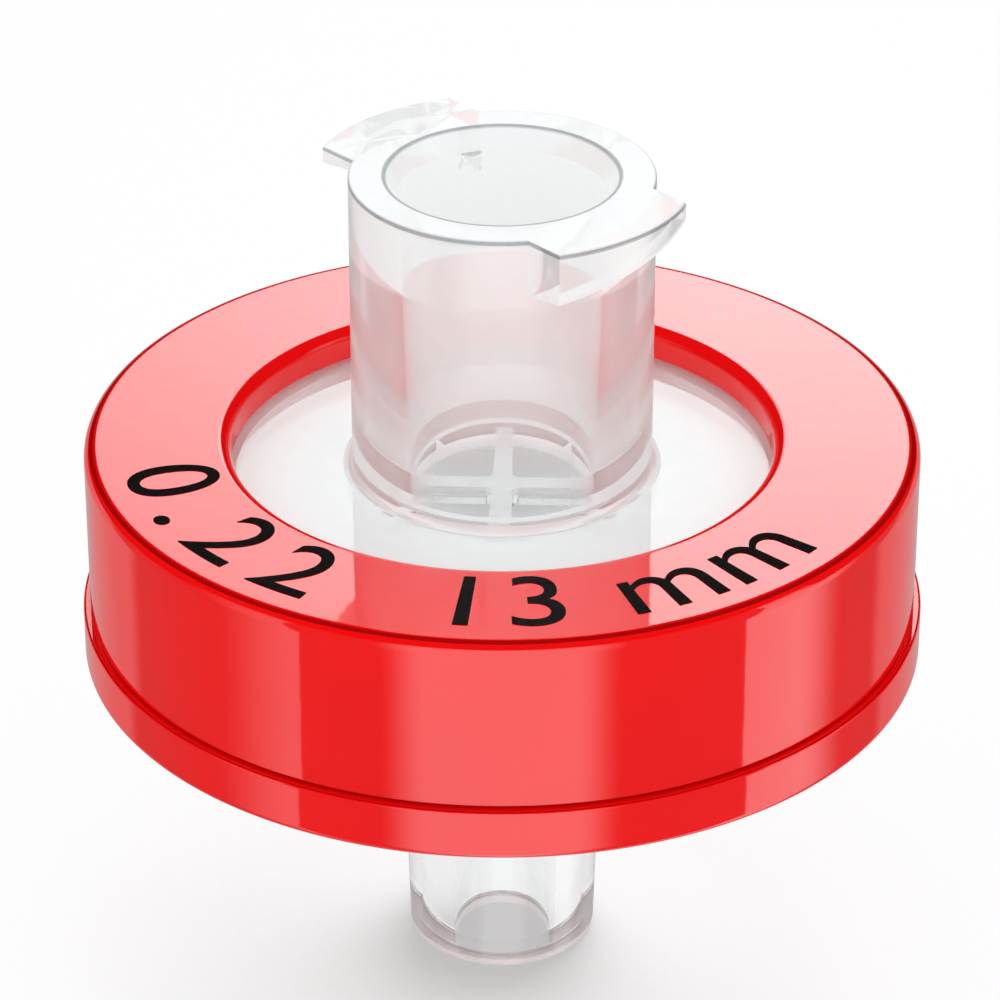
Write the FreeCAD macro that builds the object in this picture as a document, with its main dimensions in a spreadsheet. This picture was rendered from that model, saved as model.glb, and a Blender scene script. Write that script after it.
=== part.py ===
import FreeCAD, Part
import os
import Sketcher

# A 13 mm overmoulded syringe filter, standing on its outlet tip, in millimetres.
# Four pieces: two clear housings, the membrane clamped between them, and the
# coloured ring that is moulded round their rims.
# +Z runs up the flow axis from the outlet tip to the inlet. The origin is on
# the axis, in the plane of the tip's end.

# Driving sizes. Heights are stacked upwards from the tip's end.
SIZES = {
    # overmoulded ring
    "tip_reach": 7.28,            # ring's underside above the tip's end
    "lower_band_height": 1.10,
    "upper_band_height": 3.73,
    "lower_band_radius": 8.825,
    "upper_band_radius": 8.675,
    "window_radius": 5.64,        # round window over the inlet plate
    "window_depth": 0.65,
    "drain_window_radius": 5.90,  # round window under the outlet plate
    "drain_window_depth": 1.20,
    "ring_top_rounding": 0.25,
    "window_rounding": 0.25,
    "ledge_rounding": 0.05,
    "ring_foot_rounding": 0.15,
    # plates and membrane
    "plate_radius": 7.30,
    "inlet_plate_thickness": 0.76,
    "membrane_radius": 6.50,
    "membrane_thickness": 0.20,
    "membrane_clearance": 0.05,
    "chamber_radius": 5.55,
    "chamber_gap": 0.25,
    # inlet tube, a female Luer lock
    "tube_radius": 3.12,
    "tube_height": 6.54,          # rim above the plate
    "tube_foot_rounding": 0.20,
    "bore_mouth_radius": 2.15,
    "luer_taper": 0.03,           # change of radius for each unit of length
    "lead_in_width": 0.23,        # bevel round the bore's mouth
    "lead_in_depth": 0.45,
    "lug_radius": 3.90,
    "lug_half_width": 1.75,
    "lug_depth": 0.75,            # at the middle of the lug
    "lug_spare": 0.40,            # blank below the ramp, cut away by it
    "lug_lead": 5.00,
    "lug_edge_rounding": 0.05,
    # recess and baffle at the bore's foot
    "recess_radius": 2.28,
    "recess_height": 0.45,        # above the top of the flow chamber
    "baffle_height": 0.40,
    "baffle_width": 0.42,
    "baffle_root": 0.25,          # how far the baffle's arms reach into the wall
    "baffle_rounding": 0.16,
    "slot_width": 0.30,
    "slot_height": 0.30,
    "slot_start": 1.50,
    "slot_end": 3.25,
    # outlet tip, a male Luer slip
    "tip_end_radius": 1.99,
    "tip_end_rounding": 0.18,
    "tip_root_rounding": 0.30,
    "outlet_bore_radius": 1.03,
    "outlet_bore_rounding": 0.06,
    # drain channels under the membrane
    "channel_width": 0.45,
    "channel_depth": 0.35,
    "channel_pitch": 1.05,
    "first_channel_radius": 1.90,
    "drain_radius": 5.35,
}
DRAIN_RINGS = 4
DRAIN_RADIALS = 8
DIAGONAL = 45.0
QUARTERS = 4

doc = FreeCAD.newDocument("syringe_filter")
sheet = doc.addObject("Spreadsheet::Sheet", "sizes")
for row, (alias, number) in enumerate(SIZES.items(), 1):
    sheet.set(f"A{row}", alias)
    sheet.set(f"B{row}", str(number))
    sheet.setAlias(f"B{row}", alias)
doc.recompute()


class Size:
    """A size with its value now and the sheet formula that gives it."""

    def __init__(self, value, formula):
        self.value = value
        self.formula = formula

    def __add__(self, other):
        return combined(self, "+", other, self.value + value_of(other))

    def __sub__(self, other):
        return combined(self, "-", other, self.value - value_of(other))

    def __mul__(self, other):
        return combined(self, "*", other, self.value * value_of(other))

    def __truediv__(self, other):
        return combined(self, "/", other, self.value / value_of(other))

    def __neg__(self):
        return combined(self, "*", -1, -self.value)


def value_of(item):
    return item.value if isinstance(item, Size) else item


def formula_of(item):
    return item.formula if isinstance(item, Size) else str(item)


def combined(left, sign, right, value):
    return Size(value, f"({left.formula} {sign} {formula_of(right)})")


def size(alias):
    return Size(sheet.get(alias), f"sizes.{alias}")


# Heights that several pieces share.
ZERO = Size(0.0, "0")
ledge = size("tip_reach") + size("lower_band_height")
ring_top = ledge + size("upper_band_height")
ring_foot = size("tip_reach")
plate_top = ring_top - size("window_depth")
membrane_top = plate_top - size("inlet_plate_thickness")
membrane_foot = membrane_top - size("membrane_thickness")
outlet_plate_foot = ring_foot + size("drain_window_depth")
chamber_top = membrane_top + size("chamber_gap")
rim = plate_top + size("tube_height")
recess_top = chamber_top + size("recess_height")
lead_in_foot = rim - size("lead_in_depth")
tip_root_radius = size("tip_end_radius") + outlet_plate_foot * size("luer_taper")


def bore_radius(height):
    """Radius of the Luer cone at a height."""
    return size("bore_mouth_radius") - (rim - height) * size("luer_taper")


def new_body(label):
    body = doc.addObject("PartDesign::Body", label)
    body.Label = label
    return body


def origin_feature(body, role):
    return next(item for item in body.Origin.OriginFeatures if item.Role == role)


def new_sketch(body, name, plane, height=ZERO, turn=0.0):
    """A sketch on one of the body's own origin planes, raised and turned."""
    sketch = body.newObject("Sketcher::SketchObject", name)
    sketch.AttachmentSupport = [(origin_feature(body, plane), "")]
    sketch.MapMode = "FlatFace"
    spin = FreeCAD.Rotation(FreeCAD.Vector(0, 0, 1), turn)
    sketch.AttachmentOffset = FreeCAD.Placement(FreeCAD.Vector(0, 0, height.value), spin)
    sketch.setExpression("AttachmentOffset.Base.z", height.formula)
    return sketch


def drive(sketch, kind, points, amount):
    """Add a dimension to the sketch and tie it to the sheet."""
    index = sketch.addConstraint(Sketcher.Constraint(kind, *points, amount.value))
    sketch.setExpression(f"Constraints[{index}]", amount.formula)


def draw_outline(sketch, corners):
    """Draw a closed outline of straight lines, each corner placed by the sheet."""
    first = sketch.GeometryCount
    spots = [FreeCAD.Vector(across.value, up.value, 0) for across, up in corners]
    for start, end in zip(spots, spots[1:] + spots[:1]):
        sketch.addGeometry(Part.LineSegment(start, end), False)
    count = len(corners)
    for step in range(count):
        line = first + step
        after = first + (step + 1) % count
        sketch.addConstraint(Sketcher.Constraint("Coincident", line, 2, after, 1))
    for step, (across, up) in enumerate(corners):
        drive(sketch, "DistanceX", (-1, 1, first + step, 1), across)
        drive(sketch, "DistanceY", (-1, 1, first + step, 1), up)


def rectangle(low_across, high_across, low_up, high_up):
    return [(low_across, low_up), (high_across, low_up), (high_across, high_up), (low_across, high_up)]


def turned(body, kind, name, outlines):
    """Revolve outlines about the flow axis, to add or to cut."""
    sketch = new_sketch(body, name + "_outline", "XZ_Plane")
    for corners in outlines:
        draw_outline(sketch, corners)
    feature = body.newObject(kind, name)
    feature.Profile = sketch
    feature.ReferenceAxis = (sketch, ["V_Axis"])
    feature.Angle = 360
    doc.recompute()
    return feature


def extruded(body, kind, name, sketch, length):
    """Pad or pocket a sketch upwards by a length."""
    feature = body.newObject(kind, name)
    feature.Profile = sketch
    feature.Length = length.value
    feature.setExpression("Length", length.formula)
    if kind == "PartDesign::Pocket":
        feature.Reversed = True
    doc.recompute()
    return feature


def repeated(body, name, feature, count):
    """Repeat a feature evenly round the flow axis."""
    pattern = body.newObject("PartDesign::PolarPattern", name)
    pattern.Originals = [feature]
    pattern.Axis = (origin_feature(body, "Z_Axis"), [""])
    pattern.Angle = 360
    pattern.Occurrences = count
    body.Tip = pattern
    doc.recompute()
    return pattern


def circles_at(shape, radius, height):
    """Names of the round edges about the flow axis with this radius and height."""
    names = []
    for number, edge in enumerate(shape.Edges, 1):
        curve = edge.Curve
        if not isinstance(curve, Part.Circle):
            continue
        same_radius = abs(curve.Radius - radius.value) < 1e-4
        same_height = abs(curve.Center.z - height.value) < 1e-4
        if same_radius and same_height and curve.Center.x ** 2 + curve.Center.y ** 2 < 1e-8:
            names.append(f"Edge{number}")
    return names


def rounded(body, name, edges, radius):
    """Round the named edges of the body as it is so far."""
    base = body.Tip
    fillet = body.newObject("PartDesign::Fillet", name)
    fillet.Base = (base, edges)
    fillet.Radius = radius.value
    fillet.setExpression("Radius", radius.formula)
    body.Tip = fillet
    doc.recompute()
    return fillet


def make_overmould_ring():
    """Coloured ring: one shot round both plates, with a window above and below."""
    body = new_body("overmould_ring")
    lower = size("lower_band_radius")
    upper = size("upper_band_radius")
    window = size("window_radius")
    drain_window = size("drain_window_radius")
    plate = size("plate_radius")
    turned(body, "PartDesign::Revolution", "ring", [[
        (drain_window, ring_foot),
        (lower, ring_foot),
        (lower, ledge),
        (upper, ledge),
        (upper, ring_top),
        (window, ring_top),
        (window, plate_top),
        (plate, plate_top),
        (plate, outlet_plate_foot),
        (drain_window, outlet_plate_foot),
    ]])
    for name, radius, height, rounding in (
        ("top_edge", upper, ring_top, size("ring_top_rounding")),
        ("window_edge", window, ring_top, size("window_rounding")),
        ("ledge_edge", lower, ledge, size("ledge_rounding")),
        ("foot_edge", lower, ring_foot, size("ring_foot_rounding")),
        ("drain_window_edge", drain_window, ring_foot, size("ring_foot_rounding")),
    ):
        rounded(body, name, circles_at(body.Shape, radius, height), rounding)
    return body


def draw_lug_bar(sketch):
    """A bar with parallel sides and round ends, across the tube's axis."""
    reach = size("lug_radius")
    half = size("lug_half_width")
    along = (reach.value ** 2 - half.value ** 2) ** 0.5
    centre = FreeCAD.Vector(0, 0, 0)
    up = FreeCAD.Vector(0, 0, 1)
    near = FreeCAD.Vector(along, half.value, 0)
    circle = Part.Circle(centre, up, reach.value)
    angle = near.getAngle(FreeCAD.Vector(1, 0, 0))
    half_turn = FreeCAD.Vector(-1, 0, 0).getAngle(FreeCAD.Vector(1, 0, 0))
    sketch.addGeometry(Part.ArcOfCircle(circle, -angle, angle), False)
    sketch.addGeometry(Part.LineSegment(near, FreeCAD.Vector(-along, half.value, 0)), False)
    sketch.addGeometry(Part.ArcOfCircle(circle, half_turn - angle, half_turn + angle), False)
    sketch.addGeometry(Part.LineSegment(-near, FreeCAD.Vector(along, -half.value, 0)), False)
    for first, first_end, second, second_end in (
        (0, 2, 1, 1), (1, 2, 2, 1), (2, 2, 3, 1), (3, 2, 0, 1), (0, 3, -1, 1), (2, 3, -1, 1),
    ):
        sketch.addConstraint(Sketcher.Constraint("Coincident", first, first_end, second, second_end))
    sketch.addConstraint(Sketcher.Constraint("Horizontal", 1))
    sketch.addConstraint(Sketcher.Constraint("Horizontal", 3))
    drive(sketch, "Radius", (0,), reach)
    drive(sketch, "DistanceY", (-1, 1, 1, 1), half)
    drive(sketch, "DistanceY", (3, 1, -1, 1), half)


def make_inlet_housing():
    """Clear inlet: Luer-lock tube, plate, baffle and flow chamber in one moulding."""
    body = new_body("inlet_housing")
    tube = size("tube_radius")
    plate = size("plate_radius")
    chamber = size("chamber_radius")
    eighth_lead = size("lug_lead") / 8

    # The lugs start as one bar across the axis, flush with the rim.
    lug_blank = size("lug_depth") + eighth_lead + size("lug_spare")
    bar = new_sketch(body, "lug_bar_outline", "XY_Plane", rim - lug_blank, -DIAGONAL)
    draw_lug_bar(bar)
    extruded(body, "PartDesign::Pad", "lug_bar", bar, lug_blank)

    # A right-hand ramp is cut under each lug, an eighth of a turn to each side
    # of its middle.
    ramp_start = rim - size("lug_depth") - eighth_lead
    cutter = new_sketch(body, "ramp_outline", "YZ_Plane")
    inside = size("bore_mouth_radius") * 0.5
    outside = size("lug_radius") + size("lug_spare")
    draw_outline(cutter, rectangle(inside, outside, ramp_start - size("lug_lead"), ramp_start))
    ramp = body.newObject("PartDesign::SubtractiveHelix", "lug_ramp")
    ramp.Profile = cutter
    ramp.ReferenceAxis = (origin_feature(body, "Z_Axis"), [""])
    ramp.Mode = "pitch-height-angle"
    ramp.Pitch = size("lug_lead").value
    ramp.setExpression("Pitch", size("lug_lead").formula)
    ramp.Height = (eighth_lead * 2).value
    ramp.setExpression("Height", (eighth_lead * 2).formula)
    doc.recompute()
    repeated(body, "lug_ramps", ramp, 2)

    # Tube and plate are turned round the bar, and the bore is cut through both.
    turned(body, "PartDesign::Revolution", "tube_and_plate", [[
        (ZERO, chamber_top),
        (chamber, chamber_top),
        (chamber, membrane_top),
        (plate, membrane_top),
        (plate, plate_top),
        (tube, plate_top),
        (tube, rim),
        (ZERO, rim),
    ]])
    recess = size("recess_radius")
    turned(body, "PartDesign::Groove", "bore", [[
        (ZERO, chamber_top),
        (recess, chamber_top),
        (recess, recess_top),
        (bore_radius(recess_top), recess_top),
        (bore_radius(lead_in_foot), lead_in_foot),
        (size("bore_mouth_radius") + size("lead_in_width"), rim),
        (ZERO, rim),
    ]])

    # The cross baffle spans the recess at the bore's foot, down to the membrane.
    half = size("baffle_width") / 2
    cross = new_sketch(body, "baffle_outline", "XY_Plane", membrane_top)
    draw_cross(cross, half, recess + size("baffle_root"))
    extruded(body, "PartDesign::Pad", "baffle", cross, size("baffle_height"))

    # Diagonal slots let the flow out of the recess, under the tube's wall.
    slot = new_sketch(body, "slot_outline", "XY_Plane", chamber_top, DIAGONAL)
    slot_half = size("slot_width") / 2
    draw_outline(slot, rectangle(size("slot_start"), size("slot_end"), -slot_half, slot_half))
    slots = extruded(body, "PartDesign::Pocket", "slot", slot, size("slot_height"))
    repeated(body, "slots", slots, QUARTERS)

    rounded(body, "baffle_corners", baffle_corners(body.Shape), size("baffle_rounding"))
    rounded(body, "tube_foot", circles_at(body.Shape, tube, plate_top), size("tube_foot_rounding"))
    rounded(body, "rim_edges", rim_edges(body.Shape), size("lug_edge_rounding"))
    return body


def draw_cross(sketch, half, arm):
    """A cross with four equal arms."""
    draw_outline(sketch, [
        (half, half), (arm, half), (arm, -half), (half, -half), (half, -arm), (-half, -arm),
        (-half, -half), (-arm, -half), (-arm, half), (-half, half), (-half, arm), (half, arm),
    ])


def baffle_corners(shape):
    """The four upright edges where the baffle's arms meet."""
    half = size("baffle_width").value / 2
    names = []
    for number, edge in enumerate(shape.Edges, 1):
        ends = [vertex.Point for vertex in edge.Vertexes]
        upright = len(ends) == 2 and abs(ends[0].z - ends[1].z) > half
        if upright and all(abs(abs(spot) - half) < 1e-4 for end in ends for spot in (end.x, end.y)):
            names.append(f"Edge{number}")
    return names


def rim_edges(shape):
    """The outer edges of the rim's flat top, lugs included."""
    names = []
    for number, edge in enumerate(shape.Edges, 1):
        box = edge.BoundBox
        if abs(box.ZMin - rim.value) > 1e-4 or box.ZLength > 1e-4:
            continue
        reach = max((vertex.Point.x ** 2 + vertex.Point.y ** 2) ** 0.5 for vertex in edge.Vertexes)
        if reach > size("tube_radius").value - 1e-3:
            names.append(f"Edge{number}")
    return names


def make_outlet_housing():
    """Clear outlet: plate with drain channels and the Luer-slip tip in one moulding."""
    body = new_body("outlet_housing")
    plate = size("plate_radius")
    pocket = size("membrane_radius") + size("membrane_clearance")
    tip_end = size("tip_end_radius")
    outlet_bore = size("outlet_bore_radius")
    channel_floor = membrane_foot - size("channel_depth")
    turned(body, "PartDesign::Revolution", "tip_and_plate", [[
        (ZERO, ZERO),
        (tip_end, ZERO),
        (tip_root_radius, outlet_plate_foot),
        (plate, outlet_plate_foot),
        (plate, membrane_top),
        (pocket, membrane_top),
        (pocket, membrane_foot),
        (ZERO, membrane_foot),
    ]])
    turned(body, "PartDesign::Groove", "outlet_bore", [rectangle(ZERO, outlet_bore, ZERO, membrane_foot)])

    # Ring channels under the membrane, joined by radial ones that lead to the bore.
    rings = []
    for step in range(DRAIN_RINGS):
        inner = size("first_channel_radius") + size("channel_pitch") * step
        outer = inner + size("channel_width")
        rings.append(rectangle(inner, outer, channel_floor, membrane_foot))
    turned(body, "PartDesign::Groove", "ring_channels", rings)
    radial = new_sketch(body, "radial_outline", "XY_Plane", channel_floor)
    half = size("channel_width") / 2
    draw_outline(radial, rectangle(outlet_bore / 2, size("drain_radius"), -half, half))
    channel = extruded(body, "PartDesign::Pocket", "radial_channel", radial, size("channel_depth"))
    repeated(body, "radial_channels", channel, DRAIN_RADIALS)

    for name, radius, height, rounding in (
        ("tip_end_edge", tip_end, ZERO, size("tip_end_rounding")),
        ("outlet_bore_edge", outlet_bore, ZERO, size("outlet_bore_rounding")),
        ("tip_root", tip_root_radius, outlet_plate_foot, size("tip_root_rounding")),
    ):
        rounded(body, name, circles_at(body.Shape, radius, height), rounding)
    return body


def make_membrane():
    """White filter membrane, clamped at its rim between the two plates."""
    disc = doc.addObject("Part::Cylinder", "membrane")
    disc.Label = "membrane"
    disc.setExpression("Radius", size("membrane_radius").formula)
    disc.setExpression("Height", size("membrane_thickness").formula)
    disc.setExpression("Placement.Base.z", membrane_foot.formula)
    doc.recompute()
    return disc


pieces = [make_overmould_ring(), make_inlet_housing(), make_outlet_housing(), make_membrane()]
doc.recompute()

for item in doc.Objects:
    if "Invalid" in item.State or "Error" in item.State:
        raise RuntimeError(f"{item.Label} failed: {item.State}")
for piece in pieces:
    if piece.Shape.isNull() or not piece.Shape.isValid():
        raise RuntimeError(f"{piece.Label} has no valid shape")

os.makedirs("parts", exist_ok=True)
for piece in pieces:
    box = piece.Shape.BoundBox
    print(f"{piece.Label}: {piece.Shape.Volume:.3f} mm3, z {box.ZMin:.3f} to {box.ZMax:.3f}")
    piece.Shape.exportStep(os.path.join("parts", piece.Label + ".step"))
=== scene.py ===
# %% [markdown]
# # A syringe filter in a white studio
# The filter has four pieces: two clear housings, a white membrane clamped
# between them, and a glossy red ring that is moulded round their rims.
# The engineering model is loaded first and stays where it is. Everything made
# here is in metres, in that model's frame: Z runs up the flow axis and zero is
# the plane that the outlet tip stands on.

# %% Load the engineering model
import math

import bmesh
import bpy
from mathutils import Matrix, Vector


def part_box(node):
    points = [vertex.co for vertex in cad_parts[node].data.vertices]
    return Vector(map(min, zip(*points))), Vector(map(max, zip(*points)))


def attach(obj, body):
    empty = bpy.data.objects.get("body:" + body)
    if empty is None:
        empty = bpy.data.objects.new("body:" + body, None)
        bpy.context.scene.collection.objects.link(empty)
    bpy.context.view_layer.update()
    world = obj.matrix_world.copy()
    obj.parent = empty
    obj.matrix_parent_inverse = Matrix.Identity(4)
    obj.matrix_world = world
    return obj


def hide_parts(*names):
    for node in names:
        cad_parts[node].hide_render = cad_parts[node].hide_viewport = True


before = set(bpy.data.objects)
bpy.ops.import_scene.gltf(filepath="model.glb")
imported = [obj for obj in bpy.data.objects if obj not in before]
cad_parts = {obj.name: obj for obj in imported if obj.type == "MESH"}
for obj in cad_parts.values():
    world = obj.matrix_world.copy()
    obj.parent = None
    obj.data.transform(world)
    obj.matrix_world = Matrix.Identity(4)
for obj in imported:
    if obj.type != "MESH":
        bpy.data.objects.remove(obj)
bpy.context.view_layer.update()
MM = 0.001

# %% [markdown]
# ## Writing shaders as expressions
# A finish is easier to read as arithmetic than as a pile of nodes. `Wire`
# stands for one socket. Adding, subtracting or multiplying wires adds Math
# nodes, and `add` makes any other kind of node: first its settings, then what
# goes into its sockets.

# %% A wire between shader nodes
class Wire:
    """One output socket of a node tree."""

    def __init__(self, tree, socket=None):
        self.tree = tree
        self.socket = socket

    def add(self, kind, settings=(), sockets=(), output=0):
        """Add a node and return the wire that leaves it."""
        node = self.tree.nodes.new(kind)
        for name, value in dict(settings).items():
            setattr(node, name, value)
        for name, value in dict(sockets).items():
            if isinstance(value, Wire):
                self.tree.links.new(value.socket, node.inputs[name])
            else:
                node.inputs[name].default_value = value
        return Wire(self.tree, node.outputs[output] if len(node.outputs) else None)

    def math(self, operation, *values):
        return self.add("ShaderNodeMath", {"operation": operation}, enumerate(values))

    def __add__(self, other):
        return self.math("ADD", self, other)

    def __radd__(self, other):
        return self.math("ADD", other, self)

    def __sub__(self, other):
        return self.math("SUBTRACT", self, other)

    def __rsub__(self, other):
        return self.math("SUBTRACT", other, self)

    def __mul__(self, other):
        return self.math("MULTIPLY", self, other)

    def __rmul__(self, other):
        return self.math("MULTIPLY", other, self)

    def __truediv__(self, other):
        return self.math("DIVIDE", self, other)

    def clipped(self):
        return self.add("ShaderNodeClamp", sockets={"Value": self})

    def step(self, low, high):
        """0 below low, 1 above high, and smooth between them."""
        return self.add(
            "ShaderNodeMapRange",
            {"interpolation_type": "SMOOTHSTEP"},
            {"Value": self, "From Min": low, "From Max": high},
        )

    def larger(self, other):
        return self.math("MAXIMUM", self, other)

    def smaller(self, other):
        return self.math("MINIMUM", self, other)

    def size(self):
        """This number without its sign."""
        return self.math("ABSOLUTE", self)

    def dot(self, vector):
        """How far this vector reaches along another one."""
        sockets = {0: self, 1: vector}
        return self.add("ShaderNodeVectorMath", {"operation": "DOT_PRODUCT"}, sockets, "Value")

    def upward(self):
        """The upward part of this vector."""
        return self.dot((0.0, 0.0, 1.0))

    def off_axis(self):
        """How far this place lies from the flow axis."""
        sockets = {0: self, 1: (1.0, 1.0, 0.0)}
        flat = self.add("ShaderNodeVectorMath", {"operation": "MULTIPLY"}, sockets)
        return self.add("ShaderNodeVectorMath", {"operation": "LENGTH"}, {0: flat}, "Value")

    def grain(self, size, detail=2.0):
        """Noise between 0 and 1 with lumps of a given size, read at this place."""
        lumps = {"Vector": self, "Scale": 1.0 / size, "Detail": detail}
        return self.add("ShaderNodeTexNoise", sockets=lumps)

    def relief(self, depth):
        """A surface normal tilted as if this wire were a height map of a given depth."""
        return self.add("ShaderNodeBump", sockets={"Height": self, "Distance": depth})

    def blend(self, first, second):
        """A colour that goes from first to second as this wire goes from 0 to 1."""
        mixer = {"Factor": self, 6: first, 7: second}
        return self.add("ShaderNodeMix", {"data_type": "RGBA"}, mixer, 2)


def band(wire, low, high, fade):
    """1 between two values, 0 outside them, with soft edges."""
    return wire.step(low - fade, low) * (1.0 - wire.step(high, high + fade))


print("shader helper ready")

# %% [markdown]
# ## The camera
# The filter is seen from the front and about 29 degrees above, with a long
# lens, so that the round ring turns into a calm, slightly flattened ellipse.
# A camera is placed from the point it looks at, a distance and two angles.

# %% Place the camera
LENS = 171.4
SENSOR_WIDTH = 36.0
NEAREST = 1.0 * MM
FARTHEST = 10.0
CAMERA_DISTANCE = 99.657 * MM
CAMERA_HEADING = math.radians(-88.3)
CAMERA_LIFT = math.radians(29.056)
AIM = Vector((-0.046 * MM, 0.0, 10.479 * MM))
# How often light may turn: many times in clear walls, less often elsewhere.
CLEAR_BOUNCES = 24
GLOSS_BOUNCES = 12
MATT_BOUNCES = 8


def place_camera():
    """Aim a long lens at the middle of the filter."""
    data = bpy.data.cameras.new("camera")
    data.lens = LENS
    data.sensor_width = SENSOR_WIDTH
    data.clip_start = NEAREST
    data.clip_end = FARTHEST
    camera = bpy.data.objects.new("camera", data)
    across = Vector((math.cos(CAMERA_HEADING), math.sin(CAMERA_HEADING), 0.0))
    back = across * math.cos(CAMERA_LIFT) + Vector((0.0, 0.0, math.sin(CAMERA_LIFT)))
    camera.location = AIM + back * CAMERA_DISTANCE
    camera.rotation_euler = back.to_track_quat("Z", "Y").to_euler()
    bpy.context.scene.collection.objects.link(camera)
    bpy.context.scene.camera = camera
    return camera


camera = place_camera()
bpy.context.scene.view_settings.view_transform = "Standard"
light_paths = bpy.context.scene.cycles
light_paths.max_bounces = CLEAR_BOUNCES
light_paths.diffuse_bounces = MATT_BOUNCES
light_paths.glossy_bounces = GLOSS_BOUNCES
light_paths.transmission_bounces = CLEAR_BOUNCES
light_paths.blur_glossy = 0.0
print("camera at", [round(place / MM, 2) for place in camera.location], "mm")

# %% [markdown]
# ## The studio
# Glossy plastic shows the room around it more than it shows its own colour.
# Here the room is painted in the world shader, by the direction that a ray
# leaves in. What lights matt surfaces is even. What shines back from gloss is
# a row of tall white soft boxes with dark gaps between them, a bright wall
# behind the filter and a dark ceiling.

# %% Paint the studio in the world
FRONT = CAMERA_HEADING
WHITE = (1.0, 1.0, 1.0, 1.0)
DARK_GAP_LEVEL = 0.14
# Each soft box: its two edges by bearing from the front, how softly each edge
# fades, all in degrees, and its brightness.
SOFT_BOXES = [
    (-71.0, -57.0, 28.0, 0.5, 0.80),
    (-27.0, 26.5, 14.0, 14.0, 1.30),
    (70.0, 97.5, 0.5, 20.0, 1.20),
    (-270.0, -122.0, 1.0, 8.0, 0.34),
    (126.0, 270.0, 8.0, 1.0, 0.34),
]
# A part of the room ends softly, between two values. These are by lift, which
# is 0 at the horizon and 1 straight up.
HORIZON = (0.0, 0.10)
SOFT_BOX_TOP = (0.30, 0.50)
WALL_FOOT = (0.36, 0.43)
WALL_TOP = (0.53, 0.58)
# These are by how far a ray points to the front, to the back and to the side.
AHEAD = (0.0, 0.15)
BEHIND = (0.05, 0.35)
WALL_SIDE = (0.11, 0.17)
# The wall behind is brighter to the right, between two limits, and fades upwards.
WALL_LEVEL = 2.66
WALL_SLOPE = 8.2
WALL_LEAST, WALL_MOST = -0.9, 0.37
WALL_FADES_FROM = 0.45
WALL_FADING = 3.3
ROOM_LEVEL = 1.0


def paint_studio():
    """Light the set from every side, and show soft boxes to glossy surfaces."""
    world = bpy.data.worlds.new("studio")
    bpy.context.scene.world = world
    world.use_nodes = True
    world.node_tree.nodes.clear()
    start = Wire(world.node_tree)
    heading = start.add("ShaderNodeTexCoord", output="Generated")
    toward = heading.dot((math.cos(FRONT), math.sin(FRONT), 0.0))
    right = heading.dot((-math.sin(FRONT), math.cos(FRONT), 0.0))
    lift = heading.upward()
    bearing = start.math("ARCTAN2", right, toward) * (180.0 / math.pi)
    boxes = DARK_GAP_LEVEL
    for left_edge, right_edge, left_fade, right_fade, level in SOFT_BOXES:
        opened = bearing.step(left_edge - left_fade / 2, left_edge + left_fade / 2)
        closed = bearing.step(right_edge - right_fade / 2, right_edge + right_fade / 2)
        boxes = boxes + level * opened * (1.0 - closed)
    below = 1.0 - lift.step(*HORIZON)
    low_front = toward.step(*AHEAD) * (1.0 - lift.step(*SOFT_BOX_TOP))
    low_room = (below + low_front).clipped()
    behind = (0.0 - toward).step(*BEHIND)
    wall = behind * lift.step(*WALL_FOOT) * (1.0 - lift.step(*WALL_TOP))
    wall = wall * (1.0 - right.size().step(*WALL_SIDE))
    sideways = (right * WALL_SLOPE).smaller(WALL_MOST).larger(WALL_LEAST)
    fading = 1.0 - WALL_FADING * (lift - WALL_FADES_FROM).larger(0.0)
    gloss = boxes * low_room + wall * (WALL_LEVEL + sideways) * fading
    glossy = start.add("ShaderNodeLightPath", output="Is Glossy Ray")
    through = start.add("ShaderNodeLightPath", output="Is Transmission Ray")
    mirrored = glossy * (1.0 - through)
    level = ROOM_LEVEL * (1.0 - mirrored) + gloss * mirrored
    lamp = start.add("ShaderNodeBackground", sockets={"Color": WHITE, "Strength": level})
    start.add("ShaderNodeOutputWorld", sockets={"Surface": lamp})
    world.cycles.sampling_method = "NONE"
    return world


world = paint_studio()
print("studio painted with", len(world.node_tree.nodes), "nodes")

# %% [markdown]
# ## The table
# The filter stands on a plain white sheet. It is a little glossy, so the clear
# tip has a faint reflection at its foot. Gloss elsewhere looks past the sheet,
# at the soft boxes that stand round it. Seen straight on and through the clear
# plastic, the sheet is mostly an even painted white glow, with a painted shadow
# round the tip. That shadow is found by looking from the sheet towards the
# filter: the less open sky there is, the greyer the sheet. It leans so that it
# is darkest in front of the tip.

# %% Make the table
FLOOR_SIZE = 4.0
FLOOR_GAP = 0.02 * MM
# How much of the sheet, seen straight on and through the clear plastic, is a painted glow with
# a painted shadow in it.
TABLE_GLOW = 0.90
SHADOW_LEAN = {"X": 0.25, "Y": 0.80, "Z": 0.50}
SHADOW_REACH = 8.0 * MM
SHADOW_FADE = (0.45, 1.0)
SHADOW_LOOKS = 16
# The grey of the painted shadow.
PAINTED_SHADOW_GREY = (0.52, 0.52, 0.52, 1.0)
PAPER = (0.98, 0.98, 0.98, 1.0)
PAPER_ROUGHNESS = 0.20
PAPER_GLOSS = 0.3
FIBRE_SIZE = 0.15 * MM
FIBRE_DEPTH = 0.001 * MM
FIBRE_DETAIL = 3.0
FIBRE_ROUGHNESS = 0.10


def new_finish(name):
    """A new empty material and a wire to start drawing in it."""
    finish = bpy.data.materials.new(name)
    finish.use_nodes = True
    finish.node_tree.nodes.clear()
    return finish, Wire(finish.node_tree)


def set_surface(start, shader):
    start.add("ShaderNodeOutputMaterial", sockets={"Surface": shader})


def link(name, data):
    thing = bpy.data.objects.new(name, data)
    bpy.context.scene.collection.objects.link(thing)
    return thing


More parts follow.
